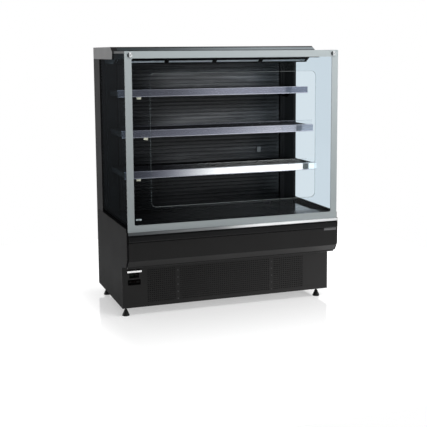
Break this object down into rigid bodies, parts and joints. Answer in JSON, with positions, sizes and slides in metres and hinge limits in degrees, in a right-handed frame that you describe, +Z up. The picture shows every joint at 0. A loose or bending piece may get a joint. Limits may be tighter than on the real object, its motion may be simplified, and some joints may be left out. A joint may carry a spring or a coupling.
{
  "type": "open multideck display fridge",
  "caption": "Semi-height open refrigerated display cabinet with a fixed front pane, a rounded reach-in cut-out, slotted shelves, a lift-out deck and a perforated plinth.",
  "frame": {"origin": "on the floor under the middle of the cabinet", "axes": "+Z up, -Y towards the shopper, +X to the shopper's right"},
  "size_m": [1.265, 0.768, 1.5],
  "materials": {
    "side_paint": "satin powder coat",
    "apron_paint": "satin powder coat",
    "frame_paint": "satin grey paint",
    "front_glass": "clear toughened glass",
    "side_glass": "clear toughened glass",
    "bright_metal": "polished",
    "trim_metal": "bright anodised",
    "bumper": "matt black",
    "black_plastic": "matt black",
    "controller_plastic": "semi-gloss black",
    "switch_plastic": "semi-gloss",
    "key_plastic": "matt grey",
    "inner_paint": "satin paint",
    "shelf_paint": "satin paint",
    "deck_paint": "gloss paint",
    "clear_rail": "clear extruded plastic",
    "lamp": "opal diffuser",
    "liner_paint": "satin paint",
    "honeycomb": "matt light grey",
    "thermometer": "matt light grey",
    "foam_skin": "galvanised skin over foam",
    "galvanised": "galvanised sheet",
    "fins": "mill finish",
    "motor_paint": "black enamel",
    "fan_plastic": "matt black",
    "copper": "copper pipe",
    "foot": "black moulded pad on a steel stem"
  },
  "bodies": {
    "cabinet": {"apron_panel": "apron_paint", "back_panels": "foam_skin", "base_frame": "galvanised", "blank_plate": "trim_metal", "bright_trim": "trim_metal", "bumper_rail": "bumper", "canopy_body": "side_paint", "canopy_liner": "liner_paint", "compressor": "motor_paint", "condensate_pan": "galvanised", "condenser_coil": "fins", "control_hood": "bright_metal", "controller_case": "controller_plastic", "corner_fillers": "black_plastic", "electrical_box": "black_plastic", "evaporator_coil": "fins", "fan_motors": "motor_paint", "fan_plates": "galvanised", "frame_clamps": "bright_metal", "front_frame": "frame_paint", "front_glass": "front_glass", "glass_channels": "black_plastic", "glass_top_trims": "trim_metal", "honeycombs": "honeycomb", "inner_back_panel": "inner_paint", "insulated_tub": "foam_skin", "left_end_column": "side_paint", "lower_side_panels": "side_paint", "panel_screws": "bright_metal", "plinth_panel": "apron_paint", "refrigerant_pipes": "copper", "right_end_column": "side_paint", "shelf_uprights": "inner_paint", "side_glasses": "side_glass", "switch_plate": "black_plastic", "thermometer": "thermometer"},
    "top_shelf": {"top_shelf": "shelf_paint", "top_price_rail": "clear_rail", "top_shelf_lamp": "lamp"},
    "middle_shelf": {"middle_shelf": "shelf_paint", "middle_price_rail": "clear_rail", "middle_shelf_lamp": "lamp"},
    "bottom_shelf": {"bottom_shelf": "shelf_paint", "bottom_price_rail": "clear_rail", "bottom_shelf_lamp": "lamp"},
    "deck_tray_left": {"deck_tray_left": "deck_paint"},
    "deck_tray_right": {"deck_tray_right": "deck_paint"},
    "return_grille": {"return_grille": "deck_paint"},
    "foot_front_left": {"foot_front_left": "foot"},
    "foot_front_right": {"foot_front_right": "foot"},
    "foot_rear_left": {"foot_rear_left": "foot"},
    "foot_rear_right": {"foot_rear_right": "foot"},
    "evaporator_fan_left": {"evaporator_fan_left": "fan_plastic"},
    "evaporator_fan_right": {"evaporator_fan_right": "fan_plastic"},
    "condenser_fan": {"condenser_fan": "fan_plastic"},
    "main_switch": {"main_switch": "switch_plastic"},
    "light_switch": {"light_switch": "switch_plastic"},
    "controller_key_1": {"controller_key_1": "key_plastic"},
    "controller_key_2": {"controller_key_2": "key_plastic"},
    "controller_key_3": {"controller_key_3": "key_plastic"}
  },
  "joints": [
    {"name": "top_shelf_lift", "type": "slide", "parent": "cabinet", "child": "top_shelf", "axis": [0, 0, 1], "range_m": [0, 0.006]},
    {"name": "middle_shelf_lift", "type": "slide", "parent": "cabinet", "child": "middle_shelf", "axis": [0, 0, 1], "range_m": [0, 0.006]},
    {"name": "bottom_shelf_lift", "type": "slide", "parent": "cabinet", "child": "bottom_shelf", "axis": [0, 0, 1], "range_m": [0, 0.006]},
    {"name": "deck_tray_left_lift", "type": "slide", "parent": "cabinet", "child": "deck_tray_left", "axis": [0, 0, 1], "range_m": [0, 0.15]},
    {"name": "deck_tray_right_lift", "type": "slide", "parent": "cabinet", "child": "deck_tray_right", "axis": [0, 0, 1], "range_m": [0, 0.15]},
    {"name": "return_grille_lift", "type": "slide", "parent": "cabinet", "child": "return_grille", "axis": [0, 0, 1], "range_m": [0, 0.15]},
    {"name": "foot_front_left_turn", "type": "hinge", "parent": "cabinet", "child": "foot_front_left", "pos_m": [-0.606, -0.203, 0], "axis": [0, 0, 1], "continuous": true},
    {"name": "foot_front_right_turn", "type": "hinge", "parent": "cabinet", "child": "foot_front_right", "pos_m": [0.576, -0.203, 0], "axis": [0, 0, 1], "continuous": true},
    {"name": "foot_rear_left_turn", "type": "hinge", "parent": "cabinet", "child": "foot_rear_left", "pos_m": [-0.606, 0.274, 0], "axis": [0, 0, 1], "continuous": true},
    {"name": "foot_rear_right_turn", "type": "hinge", "parent": "cabinet", "child": "foot_rear_right", "pos_m": [0.576, 0.274, 0], "axis": [0, 0, 1], "continuous": true},
    {"name": "evaporator_fan_left_spin", "type": "hinge", "parent": "cabinet", "child": "evaporator_fan_left", "pos_m": [-0.26, -0.116, 0.415], "axis": [0, 1, 0], "continuous": true},
    {"name": "evaporator_fan_right_spin", "type": "hinge", "parent": "cabinet", "child": "evaporator_fan_right", "pos_m": [0.26, -0.116, 0.415], "axis": [0, 1, 0], "continuous": true},
    {"name": "condenser_fan_spin", "type": "hinge", "parent": "cabinet", "child": "condenser_fan", "pos_m": [-0.33, -0.13, 0.167], "axis": [0, 1, 0], "continuous": true},
    {"name": "main_switch_rock", "type": "hinge", "parent": "cabinet", "child": "main_switch", "pos_m": [-0.575, -0.238, 0.235], "axis": [1, 0, 0], "range_deg": [0, 18]},
    {"name": "light_switch_rock", "type": "hinge", "parent": "cabinet", "child": "light_switch", "pos_m": [-0.55, -0.238, 0.235], "axis": [1, 0, 0], "range_deg": [0, 18]},
    {"name": "controller_key_1_press", "type": "slide", "parent": "cabinet", "child": "controller_key_1", "axis": [0, 1, 0], "range_m": [0, 0.001], "stiffness_N_per_m": 400},
    {"name": "controller_key_2_press", "type": "slide", "parent": "cabinet", "child": "controller_key_2", "axis": [0, 1, 0], "range_m": [0, 0.001], "stiffness_N_per_m": 400},
    {"name": "controller_key_3_press", "type": "slide", "parent": "cabinet", "child": "controller_key_3", "axis": [0, 1, 0], "range_m": [0, 0.001], "stiffness_N_per_m": 400}
  ]
}
